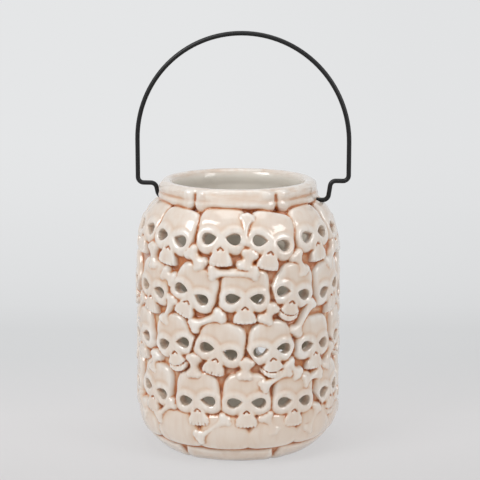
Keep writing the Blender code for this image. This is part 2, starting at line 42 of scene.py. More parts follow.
# The jar's outer line at the bottom of the grooves, and its inside, in millimetres
jar = {
    "wallRadius": 69.0, "footRadius": 44.0, "footRise": 30.0,
    "shoulderStart": 140.0, "shoulderRise": 42.0, "shoulderCore": 48.0, "shoulderSweep": 72.0,
    "rimRadius": 52.8, "rimHeight": 189.2, "rimHalfWidth": 5.2, "rimHalfHeight": 7.3,
    "ground": 1.8, "wallThickness": 4.5, "floorThickness": 6.0, "wellBottom": 175.5,
    "innerBulge": (15.0, 9.5, 5.2),
    "pivotHeight": 182.0, "boreRadius": 2.3, "pivotClear": {-1: 11.5, 1: 8.5}, "neckClear": 0.8,
    "sides": 144, "voxel": 0.62, "innerVoxel": 1.6, "faces": 168000,
}

# One (angle, rise, tilt, jaw) for each skull of the front half; the back half repeats them half a turn round
skullRows = [
    (162.5, [(-61, 2, -2, "plain"), (-33, -1, -7, "plain"), (-1.5, 1, 0, "plain"), (27.5, -2, -14, "plain"),
             (58, 0, 5, "teeth"), (88.5, 0, -4, "plain")]),
    (124.5, [(-47, 0, -9, "teeth"), (-18, 1, -23, "teeth"), (12, -1, -1, "plain"), (40, 1, -14, "grin"),
             (70, -1, 12, "plain"), (101, 0, 5, "grin")]),
    (86.0, [(-61, 1, 6, "teeth"), (-30, 2, 13, "grin"), (-2.5, 0, -15, "teeth"), (27, 0, 4, "grin"),
            (56, -1, -2, "teeth"), (87, 1, 8, "grin")]),
    (48.5, [(-45.5, 2, -11, "teeth"), (-15, 0, 5, "teeth"), (12.8, 0, -1, "teeth"), (41, -2, -5, "plain"),
            (71, 0, 6, "grin"), (102, 1, -7, "teeth")]),
]
lowCrania = [-28, 0, 28, 58, 88, 119]

# (angle, height, length, tilt) of the loose bones of the front half
looseBones = [
    (-47, 147, 20, 100), (-16, 150, 18, -50), (5.5, 140.7, 35, 0), (44.3, 145, 20, -65), (74, 146, 24, 40),
    (-63, 108, 26, 50), (-33.4, 135, 15, -27), (-33.6, 111, 25, 66), (-9.5, 106.5, 27, 24),
    (25.1, 111.5, 17, 62), (47.1, 106, 30, 56), (84, 110, 26, -40),
    (-46, 70, 18, 75), (-17, 73, 19, 92), (12.1, 72, 17, 85), (39.8, 69.5, 18, -49), (54.1, 61, 22, 13),
    (29, 64.3, 27, 30), (70, 72, 22, 62), (99, 71, 24, -30),
    (-62, 33, 24, -35), (-37.2, 37, 25, 46), (-6.5, 28.7, 30, 36), (25.9, 32, 19, -61), (54.7, 30.3, 23, 56),
    (87, 33, 26, -42), (12.5, 168.5, 23, 80), (13.5, 149.5, 16, 70),
]


# Selection and small helpers

def pickOnly(*things):
    bpy.ops.object.select_all(action="DESELECT")
    for thing in things:
        thing.select_set(True)
    bpy.context.view_layer.objects.active = things[0]


def bakePlace(thing):
    pickOnly(thing)
    bpy.ops.object.transform_apply(location=True, rotation=True, scale=True)


def addBall(middle, radii):
    bpy.ops.object.select_all(action="DESELECT")
    bpy.ops.mesh.primitive_uv_sphere_add(segments=28, ring_count=16, radius=1)
    ball = bpy.context.object
    ball.scale = [r * mm for r in radii]
    ball.location = [m * mm for m in middle]
    bakePlace(ball)
    return ball


def joinUp(pieces, name):
    pickOnly(*pieces)
    bpy.ops.object.join()
    joined = bpy.context.object
    joined.name = joined.data.name = name
    return joined


def useModifier(thing, kind, **settings):
    pickOnly(thing)
    added = thing.modifiers.new(kind.lower(), kind)
    for key, value in settings.items():
        setattr(added, key, value)
    bpy.ops.object.modifier_apply(modifier=added.name)


def cutWith(thing, cutter):
    useModifier(thing, "BOOLEAN", operation="DIFFERENCE", solver="MANIFOLD", object=cutter)
    bpy.data.objects.remove(cutter)


def getPoints(thing):
    points = np.empty(len(thing.data.vertices) * 3)
    thing.data.vertices.foreach_get("co", points)
    return points.reshape(-1, 3)


def setPoints(thing, points):
    thing.data.vertices.foreach_set("co", np.asarray(points).ravel())
    thing.data.update()


def softStep(value):
    value = np.clip(value, 0, 1)
    return value * value * (3 - 2 * value)


# The outer line of the jar, and the wrap that lays a flat carving on it

def ellipseArc(centre, radii, start, end, count):
    turns = np.linspace(math.radians(start), math.radians(end), count)
    return np.column_stack((centre[0] + radii[0] * np.cos(turns), centre[1] + radii[1] * np.sin(turns)))


footArc = ellipseArc((jar["footRadius"], jar["footRise"]),
                     (jar["wallRadius"] - jar["footRadius"], jar["footRise"]), -90, 0, 40)
shoulderArc = ellipseArc((jar["shoulderCore"], jar["shoulderStart"]),
                         (jar["wallRadius"] - jar["shoulderCore"], jar["shoulderRise"]),
                         0, jar["shoulderSweep"], 40)
rimArc = ellipseArc((jar["rimRadius"], jar["rimHeight"]),
                    (jar["rimHalfWidth"], jar["rimHalfHeight"]), -65, 180, 50)
outerLine = np.vstack((footArc, shoulderArc, rimArc)) * mm
lineAt = np.concatenate(([0], np.cumsum(np.hypot(*np.diff(outerLine, axis=0).T))))
lineSlope = np.gradient(outerLine, lineAt, axis=0)
pivotHeight = jar["pivotHeight"]


def alongAt(height):
    rising = outerLine[:, 1].argmax() + 1
    return np.interp(height * mm, outerLine[:rising, 1], lineAt[:rising])


def openNear(angle, along, radius):
    # 0 at the two wire holes and in the groove under the rim, 1 where the carving stands at its full height
    neck = alongAt(pivotHeight)
    full = softStep(np.abs(along - neck) / (jar["neckClear"] * mm))
    for side in (-1, 1):
        away = (angle - side * math.pi / 2 + math.pi) % (2 * math.pi) - math.pi
        share = np.hypot(away * radius, along - neck) / (jar["pivotClear"][side] * mm)
        full = full * softStep(share * 1.6 - 0.6)
    return full


def wrapOn(thing, angle, height, tilt, evenly=None):
    # flat x goes round the jar, y up its side, z out of it; a band is turned evenly, whatever the radius
    points = getPoints(thing)
    cosine, sine = math.cos(math.radians(tilt)), math.sin(math.radians(tilt))
    right = points[:, 0] * cosine - points[:, 1] * sine
    along = alongAt(height) + points[:, 0] * sine + points[:, 1] * cosine
    along = np.maximum(along, 0)
    radius = np.interp(along, lineAt, outerLine[:, 0])
    level = np.interp(along, lineAt, outerLine[:, 1])
    slopeR = np.interp(along, lineAt, lineSlope[:, 0])
    slopeZ = np.interp(along, lineAt, lineSlope[:, 1])
    size = np.hypot(slopeR, slopeZ)
    turn = math.radians(angle) + right / (evenly or radius)
    out = points[:, 2]
    out = np.where(out > 0, out * openNear(turn, along, radius), out)
    radius = radius + out * slopeZ / size
    level = level - out * slopeR / size
    setPoints(thing, np.column_stack((radius * np.sin(turn), -radius * np.cos(turn), level)))


def copyOf(thing):
    twin = thing.copy()
    twin.data = thing.data.copy()
    bpy.context.collection.objects.link(twin)
    return twin


# Reliefs, laid flat: x to the right, y up, z out of the wall. Heights are in millimetres over the wall,
# and each relief sinks below the wall outside its outline, as a press-moulded piece does.

def softMax(first, second, blend):
    return 0.5 * (first + second + np.sqrt((first - second) ** 2 + blend ** 2))


def softMin(first, second, blend):
    return -softMax(-first, -second, blend)


def domed(across, sharpness, fullness):
    return np.clip(1 - np.abs(across) ** sharpness, 0, 1) ** fullness


def ridge(away, width):
    return np.exp(-(away / width) ** 2)


def roundedEdge(inwards, radius):
    # rises from 0 at an outline to 1 at the radius inside it, as a pressed edge does
    return np.sqrt(1 - (1 - np.clip(inwards / radius, 0, 1)) ** 2)


def insideOf(x, y, halfWidth, halfHeight, power):
    # roughly how far inside a squarish outline a point lies
    across = (np.abs(x / halfWidth) ** power + np.abs(y / halfHeight) ** power) ** (1 / power)
    return (1 - across) * np.minimum(halfWidth, halfHeight)


def strokeAway(x, y, start, end):
    # distance from a straight stroke
    run = np.subtract(end, start)
    share = np.clip(((x - start[0]) * run[0] + (y - start[1]) * run[1]) / (run @ run), 0, 1)
    return np.hypot(x - start[0] - share * run[0], y - start[1] - share * run[1])


def buildRelief(name, box, step, heightOf, kept):
    # a grid is raised to the relief's height, given a flat back, and thinned where it is smooth
    left, right, low, high = box
    bpy.ops.object.select_all(action="DESELECT")
    bpy.ops.mesh.primitive_grid_add(x_subdivisions=round((right - left) / step),
                                    y_subdivisions=round((high - low) / step), size=1)
    sheet = bpy.context.object
    sheet.name = sheet.data.name = name
    points = getPoints(sheet)
    x = left + (points[:, 0] + 0.5) * (right - left)
    y = low + (points[:, 1] + 0.5) * (high - low)
    setPoints(sheet, np.column_stack((x, y, heightOf(x, y))) * mm)
    bpy.ops.object.mode_set(mode="EDIT")
    bpy.ops.mesh.select_all(action="SELECT")
    bpy.ops.mesh.extrude_region_move(TRANSFORM_OT_translate={"value": (0, 0, -40 * mm)})
    bpy.ops.mesh.select_all(action="SELECT")
    bpy.ops.mesh.normals_make_consistent(inside=False)
    bpy.ops.object.mode_set(mode="OBJECT")
    points = getPoints(sheet)
    points[points[:, 2] < -20 * mm, 2] = -4 * mm
    setPoints(sheet, points)
    useModifier(sheet, "DECIMATE", ratio=kept)
    return sheet


# Skulls: the origin is between the eyes. A form is how fast the cranium narrows upwards, and how square it is.
skull = {
    "eyeSpacing": 15.9, "eyeHalfWidth": 4.8, "eyeHeight": 4.5, "eyeDrop": 0.4, "eyeTurn": 10,
    "lipReach": 5.2, "cheekReach": 2.1, "bridgeRise": 1.3, "lipCrest": 2.2, "lipRise": 1.0, "lipWidth": 1.9,
    "craniumHalfWidth": 17.3, "craniumMiddle": 5.0, "craniumTop": 16.9, "craniumBottom": 11.0,
    "forms": {"plain": (0.001, 4.0), "teeth": (0.004, 3.4), "grin": (0.008, 3.1)},
    "faceHeight": 5.4, "crown": 0.8, "edgeRadius": 3.4,
    "muzzleTop": -3.4, "muzzleBottom": -19.4, "muzzleHalfWidth": 9.1, "muzzleTaper": 0.32, "muzzleHeight": 7.0,
    "teeth": {"plain": (2.7, 1.2), "teeth": (2.3, 2.2)},   # width of a tooth and depth of the gap
    "gumLine": -15.6, "gumDepth": 0.7, "browDepth": 0.22, "cheekDepth": 1.2,
    "noseTop": (0.1, -6.2), "noseFoot": (1.8, -7.8), "noseWidth": 0.85, "noseDepth": 1.5,
    "grinMiddle": -18.8, "grinCurve": 0.062, "grinHeight": 6.9, "sunk": 1.6, "deepest": -2.4,
}


def teardrop(turns, halfWidth, height):
    # an eye's outline for the skull's left, with its point at x = -halfWidth, towards the nose
    return -halfWidth * np.cos(turns), height * np.sin(turns) * np.abs(np.sin(turns / 2)) ** 0.7


def pastEye(x, y, side):
    # how far outside an eye's outline a point lies
    x = x * side - skull["eyeSpacing"] / 2
    y = y + skull["eyeDrop"]
    turn = math.radians(skull["eyeTurn"])
    x, y = x * math.cos(turn) - y * math.sin(turn), x * math.sin(turn) + y * math.cos(turn)
    turns = np.linspace(0.02, 2 * math.pi - 0.02, 90)
    edgeX, edgeY = teardrop(turns, skull["eyeHalfWidth"], skull["eyeHeight"])
    edge = np.interp(np.arctan2(y, x), np.arctan2(edgeY, edgeX), np.hypot(edgeX, edgeY), period=2 * math.pi)
    return np.hypot(x, y) - edge


def skullHeight(x, y, jaw):
    sunk = skull["sunk"]
    eyes = [pastEye(x, y, side) for side in (-1, 1)]

    # the face: cranium and lips in one outline, with the lips' crests on it
    narrowing, power = skull["forms"][jaw]
    narrow = 1 - narrowing * np.clip(y, 0, None)
    above = y - skull["craniumMiddle"]
    reach = np.where(above > 0, skull["craniumTop"], skull["craniumBottom"])
    faceIn = insideOf(x / narrow, above / reach * 16, skull["craniumHalfWidth"], 16, power)
    for past in eyes:
        below = softStep((-1 - y) / 6)
        faceIn = softMax(faceIn, skull["lipReach"] + skull["cheekReach"] * below - past, 1.2)
    face = skull["faceHeight"] + skull["crown"] * domed(np.hypot(x / 15, (above - 2.5) / 13), 2, 1)
    for past in eyes:
        face = face + skull["lipRise"] * ridge(past - skull["lipCrest"], skull["lipWidth"])
    face = face + skull["bridgeRise"] * ridge(x, 2.6) * ridge(y + 4.2, 2.6)
    brow = ridge(np.minimum(eyes[0], eyes[1]) - 6.2, 1.6) * softStep((y - 1.5) / 4) * domed(x / 17, 4, 1)
    face = face - skull["browDepth"] * brow

    # the muzzle, which narrows upwards into the nose bridge, runs into the face with a crease at each cheek
    halfWidth = skull["muzzleHalfWidth"] - skull["muzzleTaper"] * np.clip(y + 17, 0, 14)
    muzzleIn = softMin(halfWidth - np.abs(x), y - skull["muzzleBottom"], 2.8)
    muzzleIn = softMin(muzzleIn, 1.2 * (skull["muzzleTop"] - y), 1.0)
    muzzle = skull["muzzleHeight"] - 0.6 * (x / 8) ** 2 + 0.3 * ridge(y + 13, 4)
    share = softStep(0.5 + (muzzleIn - 0.45 * faceIn) / 4)
    inwards = softMax(faceIn, muzzleIn, 1.4)
    crisp = softStep((muzzleIn - faceIn) / 2) * softStep((-9 - y) / 4)
    radius = skull["edgeRadius"] - 1.5 * crisp
    height = (face + (muzzle - face) * share + sunk) * roundedEdge(inwards, radius) - sunk
    cheek = ridge(muzzleIn - 0.1, 0.9) * softStep((-8.4 - y) / 3) * softStep((faceIn + 0.5) / 2)
    height = height - skull["cheekDepth"] * cheek

    if jaw == "grin":
        middle = skull["grinMiddle"] + skull["grinCurve"] * x ** 2
        band = insideOf(x, (y - middle) * 3, 9.6, 7.2, 3.4)
        teeth = (skull["grinHeight"] - 0.012 * x ** 2 + sunk) * roundedEdge(band, 3.6) - sunk
        teeth = teeth - 0.9 * domed(((x / 2.05) % 1 - 0.5) * 2.05 / 0.5, 2, 1)
        height = np.where(y < middle + 2.6, softMax(teeth, height - 2.6, 0.2), height)
    else:
        size, depth = skull["teeth"][jaw]
        gum = skull["gumLine"]
        gaps = domed(((x / size + 0.5) % 1 - 0.5) * size / 0.5, 2, 1) * softStep((7.4 - np.abs(x)) / 1.2)
        height = height - depth * gaps * softStep((gum - y) / 0.8) * softStep((y + 19.2) / 1.2)
        line = domed((y - gum - 0.02 * x ** 2) / 0.7, 2, 1) * domed(x / 7.2, 6, 1)
        height = height - skull["gumDepth"] * line

    for past in eyes:
        slope = np.clip(1.5 - past, 0, 3.5)
        height = softMin(height, skull["faceHeight"] + 1.35 - 0.55 * slope ** 2, 0.3)
    noseless = height
    (topX, topY), (footX, footY) = skull["noseTop"], skull["noseFoot"]
    for side in (-1, 1):
        nose = strokeAway(x, y, (side * topX, topY), (side * footX, footY))
        height = np.minimum(height, noseless - skull["noseDepth"] * domed(nose / skull["noseWidth"], 2, 0.8))
    return np.maximum(height, skull["deepest"])


def buildSkull(jaw):
    return buildRelief("skull_" + jaw, (-20, 20, -22.5, 23.5), 0.42,
                       lambda x, y: skullHeight(x, y, jaw), 0.3)


def buildEyeCutter(side):
    # the eye's own outline as a flat ring, extruded through the wall and widened inwards
    bpy.ops.object.select_all(action="DESELECT")
    bpy.ops.mesh.primitive_circle_add(vertices=32, radius=1, fill_type="NGON")
    cutter = bpy.context.object
    points = getPoints(cutter)
    x, y = teardrop(math.pi - np.arctan2(points[:, 1], points[:, 0]), skull["eyeHalfWidth"], skull["eyeHeight"])
    setPoints(cutter, np.column_stack((x, y, np.full(len(x), 12.0))) * mm)
    bpy.ops.object.mode_set(mode="EDIT")
    bpy.ops.mesh.select_all(action="SELECT")
    bpy.ops.mesh.extrude_region_move(TRANSFORM_OT_translate={"value": (0, 0, -24 * mm)})
    bpy.ops.transform.resize(value=(1.15, 1.15, 1))
    bpy.ops.mesh.select_all(action="SELECT")
    bpy.ops.mesh.normals_make_consistent(inside=False)
    bpy.ops.object.mode_set(mode="OBJECT")
    turn = -math.radians(skull["eyeTurn"])
    points = getPoints(cutter)
    x = points[:, 0] * math.cos(turn) - points[:, 1] * math.sin(turn) + skull["eyeSpacing"] / 2 * mm
    y = points[:, 0] * math.sin(turn) + points[:, 1] * math.cos(turn) - skull["eyeDrop"] * mm
    setPoints(cutter, np.column_stack((x * side, y, points[:, 2])))
    if side < 0:
        pickOnly(cutter)
        bpy.ops.object.mode_set(mode="EDIT")
        bpy.ops.mesh.select_all(action="SELECT")
        bpy.ops.mesh.flip_normals()
        bpy.ops.object.mode_set(mode="OBJECT")
    return cutter


# Loose bones: a flat shaft with a heart-shaped knuckle at each end
bone = {"shaft": 4.0, "knuckle": 4.2, "knuckleOffset": 3.1, "height": 6.9, "edgeRadius": 3.6, "sunk": 1.6}


def boneHeight(x, y, length):
    half = length / 2 - bone["knuckle"] + 0.6
    waist = 1 - 0.14 * domed(x / half, 2, 1) + 0.12 * x / half
    inwards = bone["shaft"] * waist - strokeAway(x, y, (-half, 0), (half, 0))
    for end in (-1, 1):
        neck = insideOf(x - end * (half - 1.4), y, 5.0, 5.0, 2)
        inwards = softMax(inwards, neck, 1.2)
        for side in (-1, 1):
            lobe = bone["knuckle"] - np.hypot(x - end * half, y - side * bone["knuckleOffset"])
            inwards = softMax(inwards, lobe, 0.5)
    height = bone["height"] - 0.5 * domed(x / half, 2, 1) - 0.02 * y ** 2
    height = (height + bone["sunk"]) * roundedEdge(inwards, bone["edgeRadius"]) - bone["sunk"]
    return np.maximum(height, skull["deepest"])


def buildBone(length):
    return buildRelief("loose_bone", (-length / 2 - 1.5, length / 2 + 1.5, -8.5, 8.5), 0.5,
                       lambda x, y: boneHeight(x, y, length), 0.3)


# The crania of the lowest row, which show no face
lowCranium = {
    "halfWidth": 17.8, "halfHeight": 14.4, "height": 5.1, "crown": 1.2, "merging": 0.3, "middle": 26.0, "sunk": 1.6,
}


def lowCraniumHeight(x, y):
    merging = 1 + lowCranium["merging"] * softStep((4 - y) / 9)
    inwards = insideOf(x / merging, y, lowCranium["halfWidth"], lowCranium["halfHeight"], 3.8)
    height = lowCranium["height"] + lowCranium["crown"] * domed(np.hypot(x / 15, y / 13), 2, 1)
    return (height + lowCranium["sunk"]) * roundedEdge(inwards, 4.2) - lowCranium["sunk"]


# Bones end to end round the rim and the foot; the joints are in degrees, all else in millimetres
bands = {
    "count": 6, "rimJoint": -24, "rimSides": 480, "rimRing": 56, "notch": 2.4, "notchWidth": 1.1,
    "flare": 1.4, "leftRoom": 1.0, "leftLift": 3.0, "rightDrop": 1.3, "fold": 0.5,
    "knuckle": 1.3, "knuckleReach": 6.0, "knuckleWidth": 4.2, "holeReach": 9.0,
    "footJoint": -28, "footHeight": 6.0, "footHalfHeight": 10.0, "footThick": 3.9, "sunk": 1.6,
}


def fromJoint(turn):
    # how far a point round the rim lies from the nearest joint, in millimetres
    pitch = 2 * math.pi / bands["count"]
    away = (turn - math.radians(bands["rimJoint"]) + pitch / 2) % pitch - pitch / 2
    return np.abs(away) * jar["rimRadius"]


def nearHole(turn, side):
    # 1 round the wire hole on the left (-1) or right (1), 0 elsewhere
    away = np.abs((turn - side * math.pi / 2 + math.pi) % (2 * math.pi) - math.pi) * jar["rimRadius"]
    return 1 - softStep((away - bands["holeReach"]) / 8)


def buildRim():
    bpy.ops.object.select_all(action="DESELECT")
    bpy.ops.mesh.primitive_torus_add(major_segments=bands["rimSides"], minor_segments=bands["rimRing"],
                                     major_radius=1, minor_radius=0.25)
    rim = bpy.context.object
    rim.name = rim.data.name = "rim_bones"
    points = getPoints(rim)
    turn = np.arctan2(points[:, 0], -points[:, 1])
    around = np.arctan2(points[:, 2], np.hypot(points[:, 0], points[:, 1]) - 1)
    joint = fromJoint(turn)
    # the left leg of the bail swings close by, so the rim draws back and up there; on the right it closes down
    atLeft, atRight = nearHole(turn, -1), nearHole(turn, 1)
    free = 1 - np.maximum(atLeft, atRight)

    outward = softStep((np.cos(around) + 0.35) / 0.7) * softStep((1.25 - around) / 0.7)
    lobes = ridge(joint - bands["knuckleReach"], bands["knuckleWidth"])
    swell = bands["knuckle"] * lobes * (0.75 - 0.45 * np.cos(3 * around + 0.9)) * free - 0.35 * (1 - lobes)
    folds = bands["fold"] * np.sin(4 * around + 2.2 * np.sin(3 * turn + 1) + 0.8) * softStep((joint - 7) / 6)
    notch = bands["notch"] * ridge(joint, bands["notchWidth"]) * softStep((0.95 - around) / 0.5)
    spread = (swell + folds * (1 - atLeft) - notch) * outward
    halfWidth = jar["rimHalfWidth"] + spread
    under = softStep(-around / 0.5) * (np.cos(around) > 0)
    halfWidth = halfWidth + bands["flare"] * under * (1 - atLeft) - bands["leftRoom"] * atLeft * outward
    halfHeight = jar["rimHalfHeight"] + spread + (0.7 + 1.5 * lobes) * free * softStep(-around / 0.8)
    lowered = bands["rightDrop"] * atRight - bands["leftLift"] * atLeft
    halfHeight = halfHeight + lowered * softStep(-around / 0.8)
    fullness = np.where(np.cos(around) < 0, 0.75, 1 - 0.45 * under)
    sideways = np.sign(np.cos(around)) * np.abs(np.cos(around)) ** fullness
    radius = jar["rimRadius"] + halfWidth * sideways
    level = jar["rimHeight"] + halfHeight * np.sin(around)
    setPoints(rim, np.column_stack((radius * np.sin(turn), -radius * np.cos(turn), level)) * mm)
    return rim


def footBandHeight(x, y, half):
    fromEnd = half - np.abs(x)
    top = bands["footHalfHeight"] - 0.5 * domed((fromEnd - 16) / 14, 2, 1) + 0.35 * np.sin(x / 5.2)
    inwards = np.minimum(top - y, y + bands["footHalfHeight"])
    height = (bands["footThick"] + 0.5 * ridge(fromEnd - 5, 4) + bands["sunk"]) * roundedEdge(inwards, 3.2)
    joint = (0.5 + 3.6 * softStep((y + 1) / 6)) * ridge(fromEnd, 1.0 + 1.4 * softStep((y - 2) / 6))
    height = height - joint - bands["sunk"]
    return height - 0.25 * ridge(y + 1.5 + 0.5 * np.sin(x / 6), 0.8) * domed((fromEnd - 17) / 13, 2, 1)


def spinSolid(line, name):
    # a closed turned solid from (radius, height) pairs that start and end on the axis
    mesh = bpy.data.meshes.new(name)
    mesh.from_pydata([(r * mm, 0, z * mm) for r, z in line], [(i, i + 1) for i in range(len(line) - 1)], [])
    turned = bpy.data.objects.new(name, mesh)
    bpy.context.collection.objects.link(turned)
    pickOnly(turned)
    bpy.ops.object.mode_set(mode="EDIT")
    bpy.ops.mesh.select_all(action="SELECT")
    bpy.ops.mesh.spin(steps=jar["sides"], angle=2 * math.pi, center=(0, 0, 0), axis=(0, 0, 1))
    bpy.ops.mesh.select_all(action="SELECT")
    bpy.ops.mesh.remove_doubles(threshold=0.00001)
    bpy.ops.mesh.normals_make_consistent(inside=False)
    bpy.ops.object.mode_set(mode="OBJECT")
    return turned


def standingOut(line, out):
    # the same line moved outwards
    slope = np.gradient(line, axis=0)
    return line + out[:, None] * np.column_stack((slope[:, 1], -slope[:, 0])) / np.hypot(*slope.T)[:, None]


def buildJar():
    neck = jar["rimRadius"] - jar["rimHalfWidth"]
    wall = np.vstack((footArc, shoulderArc))
    along = lineAt[:len(wall)] / mm
    ground = jar["ground"] * softStep(along / 12) * softStep((alongAt(pivotHeight) / mm - along) / 5)
    wall = standingOut(wall, ground)
    solid = spinSolid([(0, 0), *wall, (jar["rimRadius"] + 1, pivotHeight + 2),
                       (jar["rimRadius"], jar["rimHeight"]), (neck + 0.5, jar["rimHeight"]),
                       (neck + 0.5, jar["wellBottom"]), (0, jar["wellBottom"])], "jar_solid")
    pieces = [solid, buildRim()]

    skulls = {jaw: buildSkull(jaw) for jaw in ("plain", "teeth", "grin")}
    cutters = [buildEyeCutter(side) for side in (-1, 1)]
    eyeCuts = []
    swells = []
    for height, places in skullRows:
        for angle, rise, tilt, jaw in places:
            for turn in (0, 180):
                head = copyOf(skulls[jaw])
                wrapOn(head, angle + turn, height + rise, tilt)
                pieces.append(head)
                for cutter in cutters:
                    hole = copyOf(cutter)
                    wrapOn(hole, angle + turn, height + rise, tilt)
                    eyeCuts.append(hole)
                swells.append((angle + turn, height + rise))
    print("skulls placed:", len(swells))

    crown = buildRelief("low_cranium", (-24, 24, -16, 16), 0.6, lowCraniumHeight, 0.3)
    for angle in lowCrania:
        for turn in (0, 180):
            dome = copyOf(crown)
            wrapOn(dome, angle + turn, lowCranium["middle"], 0)
            pieces.append(dome)
    bones = {}
    for angle, height, length, tilt in looseBones:
        if length not in bones:
            bones[length] = buildBone(length)
        for turn in (0, 180):
            loose = copyOf(bones[length])
            wrapOn(loose, angle + turn, height, tilt)
            pieces.append(loose)
    print("loose bones placed")

    pitch = 360 / bands["count"]
    footRadius = np.interp(alongAt(bands["footHeight"]), lineAt, outerLine[:, 0]) / mm
    half = math.pi * footRadius / bands["count"]
    low = bands["footHalfHeight"] + 0.6
    footBone = buildRelief("foot_bone", (-half, half, -low, low), 0.5,
                           lambda x, y: footBandHeight(x, y, half), 0.3)
    for i in range(bands["count"]):
        lower = copyOf(footBone)
        wrapOn(lower, bands["footJoint"] + pitch * (i + 0.5), bands["footHeight"], 0, footRadius * mm)
        pieces.append(lower)

    for spare in [*skulls.values(), *cutters, crown, *bones.values(), footBone]:
        bpy.data.objects.remove(spare)
    jarPiece = joinUp(pieces, "carved_jar")
    points = getPoints(jarPiece)
    points[:, 2] = np.maximum(points[:, 2], 0)
    setPoints(jarPiece, points)
    useModifier(jarPiece, "REMESH", mode="VOXEL", voxel_size=jar["voxel"] * mm)
    useModifier(jarPiece, "SMOOTH", factor=0.5, iterations=2)
    print("carving remeshed:", len(jarPiece.data.vertices))
    return jarPiece, eyeCuts, swells


def meshEdges(thing):
    edges = np.empty(len(thing.data.edges) * 2, dtype=np.int64)
    thing.data.edges.foreach_get("vertices", edges)
    return edges.reshape(-1, 2)


def relaxed(points, edges, rounds):
    # each point moves to the middle of its neighbours, again and again
    count = np.bincount(edges.ravel(), minlength=len(points))[:, None]
    for _ in range(rounds):
        total = np.empty_like(points)
        for axis in range(3):
            total[:, axis] = (np.bincount(edges[:, 0], points[edges[:, 1], axis], len(points))
                              + np.bincount(edges[:, 1], points[edges[:, 0], axis], len(points)))
        points = 0.5 * points + 0.5 * total / count
    return points


def getNormals(thing):
    normals = np.empty(len(thing.data.vertices) * 3)
    thing.data.vertices.foreach_get("normal", normals)
    return normals.reshape(-1, 3)


def carveDeeper(thing):
    # sharpens the creases, and returns how hollow each point lies, closely and broadly, in millimetres
    scale = (0.72 / jar["voxel"]) ** 2
    points, edges = getPoints(thing), meshEdges(thing)
    near = relaxed(points, edges, max(3, round(10 * scale)))
    points = points + 0.7 * (points - near)
    points[:, 2] = np.maximum(points[:, 2], 0)
    setPoints(thing, points)
    normals = getNormals(thing)
    near = relaxed(points, edges, max(3, round(14 * scale)))
    far = relaxed(near, edges, max(8, round(70 * scale)))
    close = ((near - points) * normals).sum(axis=1) / mm
    broad = ((far - points) * normals).sum(axis=1) / mm
    return points, close, broad


def buildCore(swells):
    inner = jar["wallRadius"] - jar["wallThickness"]
    neck = jar["rimRadius"] - jar["rimHalfWidth"] + 0.1
    foot = ellipseArc((jar["footRadius"] - jar["wallThickness"], jar["footRise"]),
                      (jar["wallRadius"] - jar["footRadius"], jar["footRise"] - jar["floorThickness"]),
                      -90, 0, 24)
    shoulder = ellipseArc((neck, jar["shoulderStart"]),
                          (inner - neck, jar["shoulderRise"] - jar["wallThickness"]), 0, 90, 24)
    core = spinSolid([(0, jar["floorThickness"]), *foot, *shoulder, (neck, jar["wellBottom"] + 3),
                      (0, jar["wellBottom"] + 3)], "jar_core")
    parts = [core]
    lump = addBall((0, 0, -jar["wallThickness"]), jar["innerBulge"])
    for angle, height in swells:
        bump = copyOf(lump)
        wrapOn(bump, angle, height, 0)
        parts.append(bump)
    bpy.data.objects.remove(lump)
    core = joinUp(parts, "jar_core")
    useModifier(core, "REMESH", mode="VOXEL", voxel_size=jar["innerVoxel"] * mm)
    useModifier(core, "SMOOTH", factor=0.5, iterations=4)
    useModifier(core, "DECIMATE", ratio=0.2)
    return core


def finishJar():
    jarPiece, eyeCuts, swells = buildJar()
    outside, close, broad = carveDeeper(jarPiece)
    faces = 2 * len(jarPiece.data.polygons)
    useModifier(jarPiece, "DECIMATE", ratio=min(1, jar["faces"] / faces))
    core = buildCore(swells)
    cutWith(jarPiece, core)
    cutWith(jarPiece, joinUp(eyeCuts, "eye_cuts"))
    bpy.ops.object.select_all(action="DESELECT")
    bpy.ops.mesh.primitive_cylinder_add(vertices=32, radius=jar["boreRadius"] * mm, depth=0.3,
                                        location=(0, 0, pivotHeight * mm), rotation=(0, math.pi / 2, 0))
    cutWith(jarPiece, bpy.context.object)
    print("sockets and wire holes cut:", len(jarPiece.data.polygons), "faces")

    tree = kdtree.KDTree(len(outside))
    for i, point in enumerate(outside):
        tree.insert(point, i)
    tree.balance()
    points = getPoints(jarPiece)
    found = [tree.find(point) for point in points]
    index = np.array([f[1] for f in found])
    away = np.array([f[2] for f in found]) / mm
    line = kdtree.KDTree(len(outerLine))
    for i, (r, z) in enumerate(outerLine):
        line.insert((r, 0, z), i)
    line.balance()
    risen = np.array([line.find((math.hypot(x, y), 0, z))[2] for x, y, z in points]) / mm
    onRim = softStep((points[:, 2] / mm - pivotHeight - 0.3) / 4)
    risen = risen + 6 * onRim
    radius = np.hypot(points[:, 0], points[:, 1]) / mm
    lined = softStep((away - 0.8) / 1.6)
    lined = np.maximum(lined, softStep(jar["rimRadius"] - jar["rimHalfWidth"] + 2 - radius)
                       * softStep((jar["rimHeight"] + 6 - points[:, 2] / mm) / 4))
    for name, values in (("close", close[index]), ("broad", broad[index]), ("risen", risen),
                         ("inside", lined)):
        layer = jarPiece.data.attributes.new(name, "FLOAT", "POINT")
        layer.data.foreach_set("value", values.astype(np.float32))
    pickOnly(jarPiece)
    bpy.ops.object.shade_smooth_by_angle(angle=math.radians(48))
    return jarPiece


# Materials

